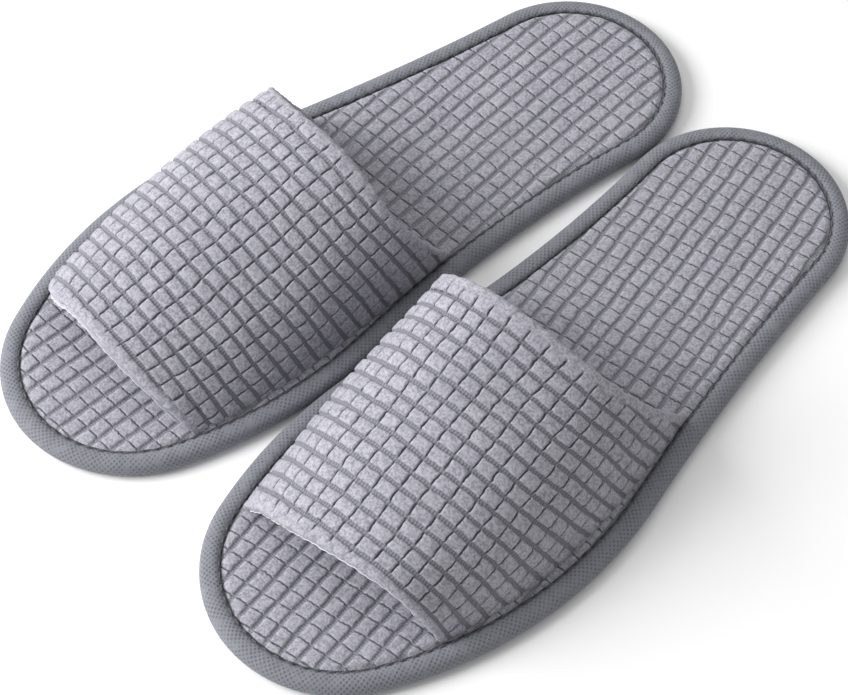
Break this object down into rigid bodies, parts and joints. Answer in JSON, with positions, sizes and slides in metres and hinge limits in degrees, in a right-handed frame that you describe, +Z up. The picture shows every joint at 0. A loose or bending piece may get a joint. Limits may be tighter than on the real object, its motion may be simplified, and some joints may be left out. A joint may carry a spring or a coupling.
{
  "type": "spa slippers",
  "caption": "Pair of open-toe, open-heel spa slippers with waffle plush insoles and vamps, a taped and sewn sole edge and soft foam outsoles.",
  "frame": {"origin": "bottom centre of the pair's box, midway between the two slippers on the surface they stand on", "axes": "+Z up, toes towards -Y, heels towards +Y, the right slipper on -X and the left slipper on +X"},
  "size_m": [0.2278, 0.2894, 0.057],
  "materials": {
    "waffle_plush": "cut waffle plush, soft and matte",
    "edge_tape": "non-woven tape with a fine embossed dot grid, matte",
    "lining": "smooth white non-woven, matte",
    "sponge": "open-cell foam, matte",
    "outsole_foam": "foam rubber with a moulded grip pattern, matte",
    "thread": "spun thread, matte"
  },
  "bodies": {
    "right_slipper": {"right_outsole": "outsole_foam", "right_insole_sponge": "sponge", "right_insole_cover": "waffle_plush", "right_edge_binding": "edge_tape", "right_rim_thread": "thread", "right_vamp_cover": "waffle_plush", "right_vamp_foam": "sponge", "right_vamp_lining": "lining", "right_front_hem_thread": "thread", "right_rear_hem_thread": "thread"},
    "left_slipper": {"left_outsole": "outsole_foam", "left_insole_sponge": "sponge", "left_insole_cover": "waffle_plush", "left_edge_binding": "edge_tape", "left_rim_thread": "thread", "left_vamp_cover": "waffle_plush", "left_vamp_foam": "sponge", "left_vamp_lining": "lining", "left_front_hem_thread": "thread", "left_rear_hem_thread": "thread"}
  },
  "joints": [
    {"name": "left_lift", "type": "slide", "parent": "right_slipper", "child": "left_slipper", "axis": [0, 0, 1], "range_m": [0, 0.12]}
  ]
}
